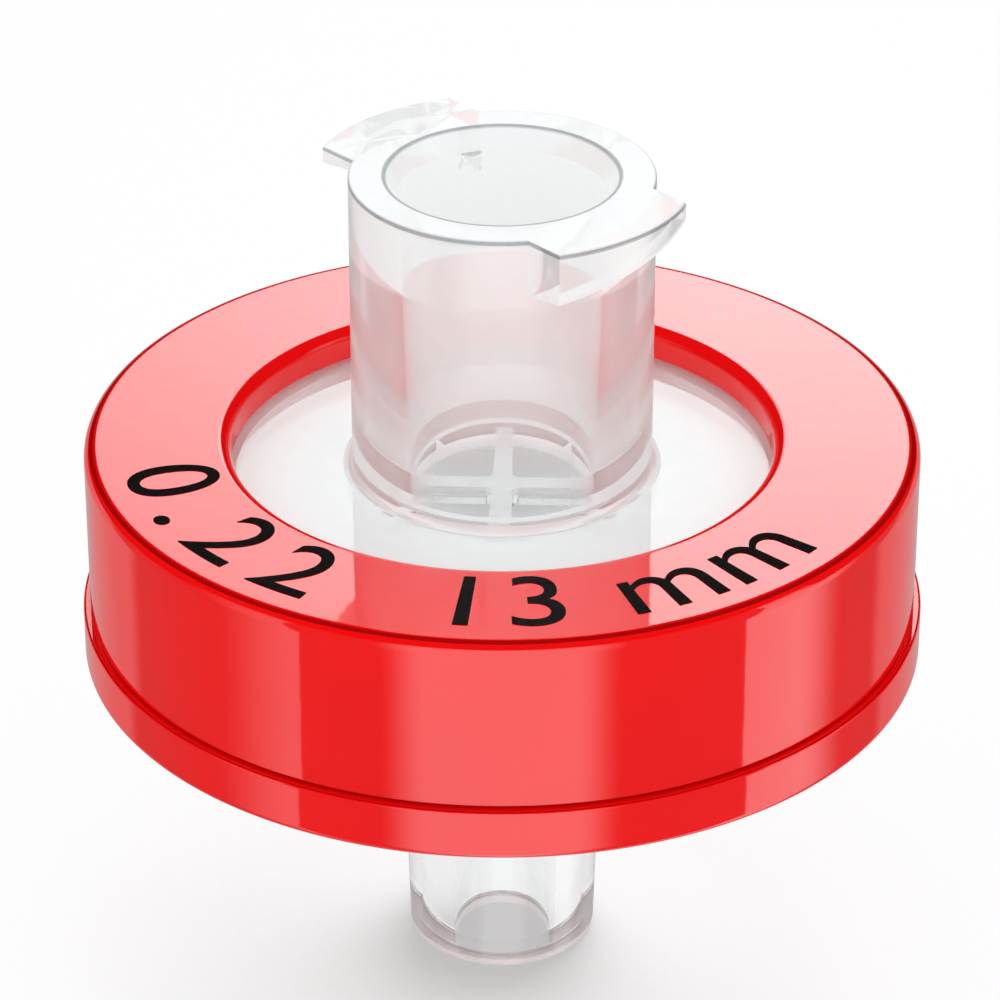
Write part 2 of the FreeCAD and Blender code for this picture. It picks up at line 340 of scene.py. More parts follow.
def make_table():
    """A wide white sheet under the tip."""
    half = FLOOR_SIZE / 2
    data = bpy.data.meshes.new("table")
    corners = [(-half, -half), (half, -half), (half, half), (-half, half)]
    data.from_pydata([(*corner, -FLOOR_GAP) for corner in corners], [], [(0, 1, 2, 3)])
    table = link("table", data)
    finish, start = new_finish("white_sheet")
    spot = start.add("ShaderNodeTexCoord", output="Object")
    fibres = spot.grain(FIBRE_SIZE, FIBRE_DETAIL)
    paper = start.add("ShaderNodeBsdfPrincipled", sockets={
        "Base Color": fibres.blend(PAPER, WHITE),
        "Roughness": PAPER_ROUGHNESS + FIBRE_ROUGHNESS * fibres,
        "Specular IOR Level": PAPER_GLOSS,
        "Normal": fibres.relief(FIBRE_DEPTH),
    })
    lean = start.add("ShaderNodeCombineXYZ", sockets=SHADOW_LEAN)
    look = {"Distance": SHADOW_REACH, "Normal": lean}
    open_sky = start.add("ShaderNodeAmbientOcclusion", {"samples": SHADOW_LOOKS}, look, "AO")
    # Painted light and shadow: an even white glow, greyed by a painted shadow where the filter
    # hides the sky.
    glow_and_painted_shadow = start.add("ShaderNodeEmission", sockets={
        "Color": open_sky.step(*SHADOW_FADE).blend(PAINTED_SHADOW_GREY, WHITE),
        "Strength": 1.0,
    })
    seen = start.add("ShaderNodeLightPath", output="Is Camera Ray")
    seen = seen + start.add("ShaderNodeLightPath", output="Is Transmission Ray")
    share = seen.clipped() * TABLE_GLOW
    mixed = start.add("ShaderNodeMixShader", sockets={0: share, 1: paper, 2: glow_and_painted_shadow})
    set_surface(start, mixed)
    finish.cycles.emission_sampling = "NONE"
    data.materials.append(finish)
    table.visible_glossy = False
    return table


table = make_table()
print("table laid")

# %% [markdown]
# ## Turned forms
# Every piece here is a body of revolution, or starts as one. Each begins as
# half of a section: corners given by radius, height and rounding. The corners
# are rounded first and the outline is then swung round the axis in many small
# steps, so that edges stay round in a close view. A section may change with
# its angle, which is how the lugs grow out of the inlet's rim. Beside each
# arc a point is added on the straight, so that the soft shading of a rounded
# edge doesn't spread over the flat face next to it.

# %% Round the corners of an outline and turn it
TURN_STEPS = 256
ARC_STEPS = 6
# How far past an arc the point on the straight lies, as a share of the arc's reach.
HOLD = 0.06
SHARP_FROM = math.radians(20.0)


def turned_back(spoke, turn):
    """A flat vector turned clockwise by an angle."""
    return Vector((
        spoke.x * math.cos(turn) + spoke.y * math.sin(turn),
        spoke.y * math.cos(turn) - spoke.x * math.sin(turn),
    ))


def rounded_outline(corners):
    """Swap each corner of a closed outline for an arc of its own rounding."""
    points = []
    count = len(corners)
    for index, (across, up, rounding) in enumerate(corners):
        here = Vector((across, up))
        if rounding == 0.0:
            points.append(here)
            continue
        before = (Vector(corners[index - 1][:2]) - here).normalized()
        after = (Vector(corners[(index + 1) % count][:2]) - here).normalized()
        half_angle = before.angle(after) / 2
        centre = here + (before + after).normalized() * rounding / math.sin(half_angle)
        reach = rounding / math.tan(half_angle)
        first = here + before * reach - centre
        last = here + after * reach - centre
        sweep = first.angle_signed(last)
        points.append(here + before * reach * (1.0 + HOLD))
        points += [
            centre + turned_back(first, sweep * step / ARC_STEPS)
            for step in range(ARC_STEPS + 1)
        ]
        points.append(here + after * reach * (1.0 + HOLD))
    return points


def even_turn():
    """Even steps once round the axis."""
    return [2.0 * math.pi * step / TURN_STEPS for step in range(TURN_STEPS)]


def shaded(data):
    """Shade a mesh smooth, but keep its real edges sharp."""
    data.shade_smooth()
    data.set_sharp_from_angle(angle=SHARP_FROM)


def turned(name, corners_at, angles):
    """Turn a closed outline, which may change with the angle, into a mesh object."""
    outlines = [rounded_outline(corners_at(angle)) for angle in angles]
    count = len(outlines[0])
    places = []
    faces = []
    for step, (angle, outline) in enumerate(zip(angles, outlines)):
        cosine, sine = math.cos(angle), math.sin(angle)
        places += [(point.x * cosine, point.x * sine, point.y) for point in outline]
        here = step * count
        ahead = (step + 1) % len(angles) * count
        for index in range(count):
            after = (index + 1) % count
            faces.append((here + index, ahead + index, ahead + after, here + after))
    data = bpy.data.meshes.new(name)
    data.from_pydata(places, [], faces)
    shaded(data)
    piece = link(name, data)
    print(name, "has", len(data.polygons), "faces")
    return piece


# %% [markdown]
# ## The red ring
# The ring is moulded over the rims of both housings, so it is one shot of
# coloured plastic with a round window above and below. Its lower band stands a
# little proud of the upper one, and a fine groove runs in the corner between
# them. Its inner wall bites a hair into the clear plates: that is how fused
# plastic looks, with no film of air between the two colours.

# %% Turn the ring
ring_low, ring_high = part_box("overmould_ring")
RING_TOP = ring_high.z
RING_FOOT = ring_low.z
LOWER_BAND_RADIUS = ring_high.x
BAND_STEP = 0.15 * MM
UPPER_BAND_RADIUS = LOWER_BAND_RADIUS - BAND_STEP
LOWER_BAND_HEIGHT = 1.10 * MM
LEDGE = RING_FOOT + LOWER_BAND_HEIGHT
WINDOW_RADIUS = 5.64 * MM
WINDOW_DEPTH = 0.65 * MM
DRAIN_WINDOW_RADIUS = 5.90 * MM
DRAIN_WINDOW_DEPTH = 1.20 * MM
PLATE_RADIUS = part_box("outlet_housing")[1].x
BITE = 0.01 * MM
GROOVE = 0.07 * MM
GROOVE_ROUNDING = 0.02 * MM
LEDGE_ROUNDING = 0.05 * MM
RING_FOOT_ROUNDING = 0.15 * MM
RING_TOP_ROUNDING = 0.25 * MM
WINDOW_ROUNDING = 0.25 * MM
PLATE_TOP = RING_TOP - WINDOW_DEPTH
OUTLET_PLATE_FOOT = RING_FOOT + DRAIN_WINDOW_DEPTH


def make_ring():
    """The coloured ring, one body of revolution."""
    corners = [
        (DRAIN_WINDOW_RADIUS, RING_FOOT, RING_FOOT_ROUNDING),
        (LOWER_BAND_RADIUS, RING_FOOT, RING_FOOT_ROUNDING),
        (LOWER_BAND_RADIUS, LEDGE, LEDGE_ROUNDING),
        (UPPER_BAND_RADIUS - GROOVE, LEDGE, 0.0),
        (UPPER_BAND_RADIUS, LEDGE + GROOVE, GROOVE_ROUNDING),
        (UPPER_BAND_RADIUS, RING_TOP, RING_TOP_ROUNDING),
        (WINDOW_RADIUS, RING_TOP, WINDOW_ROUNDING),
        (WINDOW_RADIUS, PLATE_TOP - BITE, 0.0),
        (PLATE_RADIUS - BITE, PLATE_TOP - BITE, 0.0),
        (PLATE_RADIUS - BITE, OUTLET_PLATE_FOOT + BITE, 0.0),
        (DRAIN_WINDOW_RADIUS, OUTLET_PLATE_FOOT + BITE, 0.0),
    ]
    ring = turned("red_ring", lambda angle: corners, even_turn())
    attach(ring, "root")
    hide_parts("overmould_ring")
    return ring


ring = make_ring()

# %% [markdown]
# ## Red plastic
# The ring is injection moulded in polypropylene that is coloured right
# through, in a polished mould. So the red is deep and even, and the gloss is a
# clean mirror at the surface. Two things keep it from looking like a computed
# mirror: the pigment is mixed in by the screw and leaves very faint clouds,
# and the skin shrinks a little unevenly, which gives shallow waves like those
# of an orange peel. Both are made of noise with a size in real millimetres.
# The edges of the ring look darker than its faces, and that is painted shade:
# a darker red is painted along the outer edge of the top, and in the groove
# above the ledge on top of the groove's real shade. The mirror of the skin is
# left off the window's wall, which sees little but the clear plate. It also
# fades where the skin is seen edge-on, which keeps the ring's outline as red
# as its faces.

# %% Red plastic
RED = (0.975, 0.004, 0.004, 1.0)
DEEP_RED = (0.935, 0.004, 0.005, 1.0)
# A darker red for painted shade.
PAINTED_SHADE_RED = (0.42, 0.002, 0.002, 1.0)
CLOUD_SIZE = 3.0 * MM
CLOUD_FADE = (0.3, 0.7)
PEEL_SIZE = 0.45 * MM
PEEL_DEPTH = 0.0012 * MM
SCUFF_SIZE = 0.08 * MM
RED_ROUGHNESS = 0.04
SCUFF_ROUGHNESS = 0.04
POLISH_ROUGHNESS = 0.03
PLASTIC_IOR = 1.5
# Where the polish starts, by distance from the axis and by how edge-on the skin is.
POLISH_START = (WINDOW_RADIUS + 0.02 * MM, WINDOW_RADIUS + 0.12 * MM)
GRAZING = (0.54, 0.70)
GRAZING_LOSS = 0.9
# The painted shade on the top edge: where it starts, and how its skin leans: low, high and
# fade.
TOP_EDGE_SHADE_START = (UPPER_BAND_RADIUS - 0.4 * MM, UPPER_BAND_RADIUS - 0.3 * MM)
TOP_EDGE_SHADE_LEAN = (0.84, 0.95, 0.05)
# The painted shade in the groove: where it ends outwards, and its low, high and fade.
GROOVE_SHADE_END = (UPPER_BAND_RADIUS, UPPER_BAND_RADIUS + 0.08 * MM)
GROOVE_SHADE_BAND = (LEDGE - 0.01 * MM, LEDGE + GROOVE, 0.02 * MM)
GROOVE_SHADE_SHARE = 0.45


def red_plastic():
    """Glossy plastic, coloured through, with faint clouds and waves, and painted shade along
    the top edge and in the groove.
    """
    finish, start = new_finish("glossy_red")
    spot = start.add("ShaderNodeTexCoord", output="Object")
    waves = spot.grain(PEEL_SIZE, 1.0).relief(PEEL_DEPTH)
    distance = spot.off_axis()
    facing = start.add("ShaderNodeLayerWeight", sockets={"Blend": 0.5}, output="Facing")
    polish = distance.step(*POLISH_START) * (1.0 - GRAZING_LOSS * facing.step(*GRAZING))
    upright = start.add("ShaderNodeNewGeometry", output="Normal").upward()
    # Painted shade: a darker red along the top's outer edge and in the groove above the ledge.
    top_edge_shade = band(upright, *TOP_EDGE_SHADE_LEAN) * distance.step(*TOP_EDGE_SHADE_START)
    groove_shade = band(spot.upward(), *GROOVE_SHADE_BAND) * (1.0 - distance.step(*GROOVE_SHADE_END)) * GROOVE_SHADE_SHARE
    red = spot.grain(CLOUD_SIZE).step(*CLOUD_FADE).blend(DEEP_RED, RED)
    shell = start.add("ShaderNodeBsdfPrincipled", sockets={
        "Base Color": top_edge_shade.larger(groove_shade).blend(red, PAINTED_SHADE_RED),
        "Roughness": RED_ROUGHNESS + SCUFF_ROUGHNESS * spot.grain(SCUFF_SIZE),
        "IOR": PLASTIC_IOR,
        "Coat Weight": polish,
        "Coat Roughness": POLISH_ROUGHNESS,
        "Coat IOR": PLASTIC_IOR,
        "Normal": waves,
        "Coat Normal": waves,
    })
    set_surface(start, shell)
    return finish


ring.data.materials.append(red_plastic())
print("ring is red")

# %% [markdown]
# ## The inlet housing
# One clear moulding: a plate, the inlet tube that stands on it and, at the
# rim, two lugs that lock into a syringe's thread. A lug is a bar with parallel
# sides laid across the tube, cut off round at its ends. Seen along the axis
# its reach at each angle is a simple formula, and its underside climbs with
# the angle as a thread does. So the whole tube, lugs included, is one turned
# form. The cross baffle at the foot of the bore is joined to it, and four
# slots that let the flow out under the tube's wall are cut from it.

# %% Make the inlet housing
MEMBRANE_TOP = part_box("membrane")[1].z
MEMBRANE_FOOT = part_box("membrane")[0].z
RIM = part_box("inlet_housing")[1].z
CHAMBER_RADIUS = 5.55 * MM
CHAMBER_HEIGHT = 0.25 * MM
CHAMBER_TOP = MEMBRANE_TOP + CHAMBER_HEIGHT
TUBE_RADIUS = 3.12 * MM
TUBE_FOOT_ROUNDING = 0.20 * MM
BORE_MOUTH_RADIUS = 2.15 * MM
LEAD_IN_WIDTH = 0.23 * MM
LEAD_IN_DEPTH = 0.45 * MM
LUER_TAPER = 0.03
RECESS_RADIUS = 2.28 * MM
RECESS_HEIGHT = 0.45 * MM
RECESS_TOP = CHAMBER_TOP + RECESS_HEIGHT
LUG_RADIUS = 3.90 * MM
LUG_HALF_WIDTH = 1.75 * MM
LUG_DEPTH = 0.75 * MM
LUG_LEAD = 5.0 * MM
LUG_DRAFT = 0.02 * MM
LUG_MIDDLE = math.radians(135.0)
LUG_SIDE_START = math.asin(LUG_HALF_WIDTH / TUBE_RADIUS)
LUG_SIDE_END = math.asin(LUG_HALF_WIDTH / LUG_RADIUS)
RIM_ROUNDING = 0.05 * MM
BAFFLE_HALF_WIDTH = 0.21 * MM
BAFFLE_ROOT = 0.25 * MM
BAFFLE_ARM = RECESS_RADIUS + BAFFLE_ROOT
BAFFLE_HEIGHT = 0.40 * MM
BAFFLE_ROUNDING = 0.16 * MM
SLOT_INNER = 1.50 * MM
SLOT_OUTER = 3.25 * MM
SLOT_HALF_WIDTH = 0.15 * MM
SLOT_HEIGHT = 0.30 * MM
SLOT_OVERCUT = 0.01 * MM


def bore_radius(height):
    """Radius of the Luer cone at a height."""
    return BORE_MOUTH_RADIUS - (RIM - height) * LUER_TAPER


def from_lug(angle):
    """The angle from the middle of the nearest lug, between -90 and 90 degrees."""
    return (angle - LUG_MIDDLE + math.pi / 2) % math.pi - math.pi / 2


def rim_reach(angle):
    """How far the rim reaches out at an angle: the tube's wall, a lug's side or its end."""
    slope = abs(math.sin(from_lug(angle)))
    side = LUG_HALF_WIDTH / slope if slope else LUG_RADIUS
    return max(TUBE_RADIUS, min(LUG_RADIUS, side))


def climb(angle):
    """The angle that the thread has climbed by; between the lugs it eases back to nothing."""
    turn = from_lug(angle)
    if abs(turn) <= LUG_SIDE_START:
        return turn
    eased = LUG_SIDE_START * (math.pi / 2 - abs(turn)) / (math.pi / 2 - LUG_SIDE_START)
    return math.copysign(eased, turn)


def inlet_corners(angle):
    """The section of the tube and plate at an angle."""
    reach = rim_reach(angle)
    lug_foot = RIM - LUG_DEPTH + LUG_LEAD * climb(angle) / (2.0 * math.pi)
    bevel_foot = RIM - LEAD_IN_DEPTH
    return [
        (RECESS_RADIUS, CHAMBER_TOP, 0.0),
        (CHAMBER_RADIUS, CHAMBER_TOP, 0.0),
        (CHAMBER_RADIUS, MEMBRANE_TOP, 0.0),
        (PLATE_RADIUS, MEMBRANE_TOP, 0.0),
        (PLATE_RADIUS, PLATE_TOP, 0.0),
        (TUBE_RADIUS, PLATE_TOP, TUBE_FOOT_ROUNDING),
        (TUBE_RADIUS, lug_foot, 0.0),
        (reach, lug_foot + LUG_DRAFT, 0.0),
        (reach, RIM, RIM_ROUNDING),
        (BORE_MOUTH_RADIUS + LEAD_IN_WIDTH, RIM, 0.0),
        (bore_radius(bevel_foot), bevel_foot, 0.0),
        (bore_radius(RECESS_TOP), RECESS_TOP, 0.0),
        (RECESS_RADIUS, RECESS_TOP, 0.0),
    ]


def lug_angles():
    """Even steps round the rim, and one at each end of a lug's side."""
    angles = even_turn()
    for middle in (LUG_MIDDLE, LUG_MIDDLE + math.pi):
        for offset in (LUG_SIDE_START, LUG_SIDE_END):
            sides = (middle + offset, middle - offset)
            angles += [side % (2.0 * math.pi) for side in sides]
    return sorted(angles)


def raised(name, corners, low, high):
    """A flat closed outline raised into a solid block between two heights."""
    outline = rounded_outline(corners)
    count = len(outline)
    places = [(point.x, point.y, height) for height in (low, high) for point in outline]
    faces = [tuple(range(count))[::-1], tuple(range(count, 2 * count))]
    for index in range(count):
        after = (index + 1) % count
        faces.append((index, after, count + after, count + index))
    data = bpy.data.meshes.new(name)
    data.from_pydata(places, [], faces)
    return link(name, data)


def carved(piece, tool, operation):
    """Join a tool to a piece or cut it away, and throw the tool away."""
    change = piece.modifiers.new("change", "BOOLEAN")
    change.operation = operation
    change.solver = "EXACT"
    change.object = tool
    settled = piece.evaluated_get(bpy.context.evaluated_depsgraph_get())
    data = bpy.data.meshes.new_from_object(settled)
    data.name = piece.name
    piece.modifiers.clear()
    piece.data = data
    bpy.data.objects.remove(tool)
    shaded(data)


def spun(corners, angle):
    """Corners of a flat outline turned about the axis."""
    flat = [Vector(corner[:2]) for corner in corners]
    return [(*turned_back(spot, -angle), corner[2]) for spot, corner in zip(flat, corners)]


def bar(inner, outer, half_width, angle):
    """A bar that lies along an angle, between two distances from the axis."""
    return spun([
        (inner, -half_width, 0.0), (outer, -half_width, 0.0),
        (outer, half_width, 0.0), (inner, half_width, 0.0),
    ], angle)


def baffle_corners():
    """A cross with four arms and rounded inner corners."""
    corners = []
    for quarter in range(4):
        corners += spun([
            (BAFFLE_ARM, -BAFFLE_HALF_WIDTH, 0.0),
            (BAFFLE_ARM, BAFFLE_HALF_WIDTH, 0.0),
            (BAFFLE_HALF_WIDTH, BAFFLE_HALF_WIDTH, BAFFLE_ROUNDING),
        ], quarter * math.pi / 2)
    return corners


def make_inlet_housing():
    """Tube, lugs, plate, baffle and slots in one clear piece."""
    housing = turned("clear_inlet", inlet_corners, lug_angles())
    baffle = raised("baffle", baffle_corners(), MEMBRANE_TOP, MEMBRANE_TOP + BAFFLE_HEIGHT)
    carved(housing, baffle, "UNION")
    for quarter in range(4):
        angle = math.pi / 4 + quarter * math.pi / 2
        slot_bar = bar(SLOT_INNER, SLOT_OUTER, SLOT_HALF_WIDTH, angle)
        slot = raised("slot", slot_bar, CHAMBER_TOP - SLOT_OVERCUT, CHAMBER_TOP + SLOT_HEIGHT)
        carved(housing, slot, "DIFFERENCE")
    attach(housing, "root")
    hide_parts("inlet_housing")
    return housing


inlet = make_inlet_housing()
print("inlet housing has", len(inlet.data.polygons), "faces")

# %% [markdown]
# ## The outlet housing
# The second clear moulding is a plate with the outlet tip under it. On top of
# the plate, under the membrane, ring channels and eight radial ones gather
# what has passed the membrane and lead it to the bore in the tip.

# %% Make the outlet housing
POCKET_RADIUS = 6.55 * MM
CHANNEL_DEPTH = 0.35 * MM
CHANNEL_FLOOR = MEMBRANE_FOOT - CHANNEL_DEPTH
CHANNEL_OVERCUT = 0.1 * MM
CHANNEL_WIDTH = 0.45 * MM
CHANNEL_PITCH = 1.05 * MM
FIRST_CHANNEL_RADIUS = 1.90 * MM
DRAIN_RINGS = 4
DRAIN_RADIALS = 8
DRAIN_RADIUS = 5.35 * MM
OUTLET_RIM_TOP = MEMBRANE_TOP - 2.0 * BITE
TIP_END_RADIUS = 1.99 * MM
TIP_END_ROUNDING = 0.18 * MM
TIP_ROOT_RADIUS = TIP_END_RADIUS + OUTLET_PLATE_FOOT * LUER_TAPER
TIP_ROOT_ROUNDING = 0.30 * MM
OUTLET_BORE_RADIUS = 1.03 * MM
OUTLET_BORE_ROUNDING = 0.06 * MM


def outlet_corners():
    """The section of the tip and plate, ring channels included."""
    corners = [
        (OUTLET_BORE_RADIUS, 0.0, OUTLET_BORE_ROUNDING),
        (TIP_END_RADIUS, 0.0, TIP_END_ROUNDING),
        (TIP_ROOT_RADIUS, OUTLET_PLATE_FOOT, TIP_ROOT_ROUNDING),
        (PLATE_RADIUS, OUTLET_PLATE_FOOT, 0.0),
        (PLATE_RADIUS, OUTLET_RIM_TOP, 0.0),
        (POCKET_RADIUS, OUTLET_RIM_TOP, 0.0),
        (POCKET_RADIUS, MEMBRANE_FOOT, 0.0),
    ]
    for number in reversed(range(DRAIN_RINGS)):
        inner = FIRST_CHANNEL_RADIUS + number * CHANNEL_PITCH
        outer = inner + CHANNEL_WIDTH
        corners += [
            (outer, MEMBRANE_FOOT, 0.0), (outer, CHANNEL_FLOOR, 0.0),
            (inner, CHANNEL_FLOOR, 0.0), (inner, MEMBRANE_FOOT, 0.0),
        ]
    return corners + [(OUTLET_BORE_RADIUS, MEMBRANE_FOOT, 0.0)]


def make_outlet_housing():
    """Plate, tip and drain channels in one clear piece."""
    corners = outlet_corners()
    housing = turned("clear_outlet", lambda angle: corners, even_turn())
    for number in range(DRAIN_RADIALS):
        angle = 2.0 * math.pi * number / DRAIN_RADIALS
        radial = bar(OUTLET_BORE_RADIUS / 2, DRAIN_RADIUS, CHANNEL_WIDTH / 2, angle)
        channel = raised("channel", radial, CHANNEL_FLOOR, MEMBRANE_FOOT + CHANNEL_OVERCUT)
        carved(housing, channel, "DIFFERENCE")
    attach(housing, "root")
    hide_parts("outlet_housing")
    return housing


outlet = make_outlet_housing()
print("outlet housing has", len(outlet.data.polygons), "faces")

# %% [markdown]
# ## Clear plastic
# Both housings are clear polypropylene. It bends light as glass does, and it
# is never quite clear: the plastic crystallises as it cools and leaves a milky
# veil. Fine crystals scatter blue light more than red, so the milk is a trace
# cold, and so is what shines through. That also offsets the red light that the
# ring throws into the tube. Light crosses many skins before it reaches the
# eye, so the veil is laid only on skins that face outwards, as a share of
# milk mixed into the clear shell. It has its own strength on each part. Thin
# walls stay nearly clear, while the rim's top and the bevel in its mouth go
# white. The lower edges of the lugs, the rounded foot of the tube and the arms
# of the baffle get painted highlights: the veil is turned up to nearly white
# where they catch the light. Where the tube turns away from the eye its wall
# is longer to look through, so the veil is thicker there, and painted shade
# makes it greyer. Fine grey lines of painted shade run along the rim's sharp
# edges. The tip's end face is the one skin that gets a veil inside, since it
# is seen through the tip's wall: a grey veil, painted shade where the tip
# stands on the sheet.

# %% Clear plastic
PLASTIC = (0.965, 0.994, 0.996, 1.0)
MILK = (0.97, 1.0, 1.0, 1.0)
PAINTED_SHADE_GREY = (0.39, 0.42, 0.43, 1.0)
# How much veil each part has, from 0 for clear to 1 for white.
SKIN_VEIL = 0.14
HIGH_VEIL = 0.46
EDGE_VEIL = 0.60
# Painted highlight: the veil turned up to nearly white on the tube's rounded foot.
FOOT_HIGHLIGHT = 0.75
PLATE_VEIL = 0.30
BORE_VEIL = 0.66
LEAD_IN_VEIL = 0.92
# Painted highlight: the veil turned up to nearly white on the baffle's arms.
BAFFLE_HIGHLIGHT = 0.95
RIM_VEIL = 0.80
LUG_VEIL = 0.45
# Painted highlight: the veil turned up to nearly white along the lugs' lower edges.
LUG_EDGE_HIGHLIGHT = 0.95
# Painted shade: how much grey veil lies on the fine lines along the rim's edges.
SHADE_LINE_SHARE = 0.80
TIP_VEIL = 0.10
TIP_FOOT_VEIL = 0.70
# Painted shade: how much grey veil lies on the tip's end face.
TIP_END_SHADE_SHARE = 0.90
# How much painted shade greys the veil where the tube turns away and on the tip's end.
EDGE_SHADE = 0.35
TIP_END_SHADE = 0.50
# How level a skin has to be, and how far turned away, to count as such.
LEVEL = (0.3, 0.6)
TURNED_AWAY = (0.15, 0.40)
# Heights between which a veil starts.
HIGH_START = (PLATE_TOP + 1.0 * MM, PLATE_TOP + 4.0 * MM)
TUBE_START = (PLATE_TOP, PLATE_TOP + 0.1 * MM)
BORE_START = (MEMBRANE_TOP + 0.1 * MM, CHAMBER_TOP + 0.1 * MM)
BEVEL_START = (RIM - LEAD_IN_DEPTH - 0.02 * MM, RIM - LEAD_IN_DEPTH)
RIM_START = (RIM - 0.6 * MM, RIM - 0.1 * MM)
LUG_START = (RIM - 1.6 * MM, RIM - 1.5 * MM)
MOUTH_LINE_START = (RIM - 0.12 * MM, RIM - 0.08 * MM)
# Heights between which a veil ends.
TIP_HEIGHT = (OUTLET_PLATE_FOOT - 0.1 * MM, OUTLET_PLATE_FOOT)
TIP_FOOT_HEIGHT = (0.18 * MM, 0.30 * MM)
TIP_END_HEIGHT = (0.03 * MM, 0.05 * MM)
# Bands of height: low, high and fade. The lug's is measured from its underside.
FOOT_BAND = (PLATE_TOP + 0.005 * MM, PLATE_TOP + 0.15 * MM, 0.003 * MM)
PLATE_BAND = (PLATE_TOP - 0.02 * MM, PLATE_TOP + 0.002 * MM, 0.01 * MM)
BAFFLE_BAND = (CHAMBER_TOP, RECESS_TOP - 0.05 * MM, 0.05 * MM)
LUG_EDGE_BAND = (0.0, 0.09 * MM, 0.02 * MM)
BROW_LINE_BAND = (RIM - 0.08 * MM, RIM - 0.03 * MM, 0.03 * MM)
# Distances from the axis, in the same way.
BORE_REACH = (2.45 * MM, 2.55 * MM)
TIP_END_REACH = (1.70 * MM, 1.80 * MM)
PAST_WALL = (TUBE_RADIUS + 0.02 * MM, TUBE_RADIUS + 0.06 * MM)
BROW_LINE_REACH = (TUBE_RADIUS - 0.1 * MM, TUBE_RADIUS - 0.05 * MM)
MOUTH_EDGE = BORE_MOUTH_RADIUS + LEAD_IN_WIDTH
MOUTH_LINE_BAND = (MOUTH_EDGE, MOUTH_EDGE + 0.04 * MM, 0.04 * MM)
MILK_CLOUD = 1.2 * MM
MILK_LEAST, MILK_SPREAD = 0.9, 0.2
CLEAR_ROUGHNESS, CLOUD_ROUGHNESS = 0.01, 0.02
HAZE_ROUGHNESS = 0.3
WAVE_SIZE = 0.9 * MM
WAVE_DEPTH = 0.0006 * MM


def largest(wires):
    """The largest of several wires."""
    most = wires[0]
    for wire in wires[1:]:
        most = most.larger(wire)
    return most


def above_lug_foot(spot, height):
    """The height above a lug's underside, which climbs with the angle."""
    along = (math.cos(LUG_MIDDLE), math.sin(LUG_MIDDLE), 0.0)
    across = (-math.sin(LUG_MIDDLE), math.cos(LUG_MIDDLE), 0.0)
    turn = spot.math("ARCTANGENT", spot.dot(across) / spot.dot(along))
    return height - (RIM - LUG_DEPTH) - turn * (LUG_LEAD / (2.0 * math.pi))


def tube_veil(spot, radius, height, level_face, outside, turned_away):
    """How milky the skin is on the inlet tube, its rim, its bore and the baffle, painted
    highlights included.
    """
    high = height.step(*HIGH_START) * HIGH_VEIL
    skin = outside * (SKIN_VEIL + high.larger(EDGE_VEIL * turned_away))
    # Painted highlight on the tube's rounded foot.
    foot = band(height, *FOOT_BAND) * FOOT_HIGHLIGHT
    in_bore = 1.0 - radius.step(*BORE_REACH)
    bore = in_bore * height.step(*BORE_START) * BORE_VEIL
    bevel = in_bore * height.step(*BEVEL_START) * LEAD_IN_VEIL
    rim = height.step(*RIM_START) * level_face * RIM_VEIL
    past_wall = radius.step(*PAST_WALL)
    lug = past_wall * height.step(*LUG_START) * LUG_VEIL
    # Painted highlight along the lugs' lower edges.
    lug_edge_highlight = past_wall * band(above_lug_foot(spot, height), *LUG_EDGE_BAND) * LUG_EDGE_HIGHLIGHT
    # Painted highlight on the baffle's arms.
    baffle = in_bore * level_face * band(height, *BAFFLE_BAND) * BAFFLE_HIGHLIGHT
    plate = level_face * band(height, *PLATE_BAND) * PLATE_VEIL
    return largest([skin, foot, bore, bevel, rim, lug, lug_edge_highlight, baffle, plate])


def painted_rim_lines(radius, height):
    """Painted shade: the fine grey lines along the rim's two edges."""
    mouth = band(radius, *MOUTH_LINE_BAND) * height.step(*MOUTH_LINE_START)
    brow = band(height, *BROW_LINE_BAND) * radius.step(*BROW_LINE_REACH)
    return mouth.larger(brow)


def tip_end_face(radius, height, level_face, outer_side):
    """1 on the tip's end face where it is seen from inside, through the tip's wall; its
    painted shade goes there.
    """
    at_end = (1.0 - height.step(*TIP_END_HEIGHT)) * (1.0 - radius.step(*TIP_END_REACH))
    return at_end * level_face * (1.0 - outer_side)


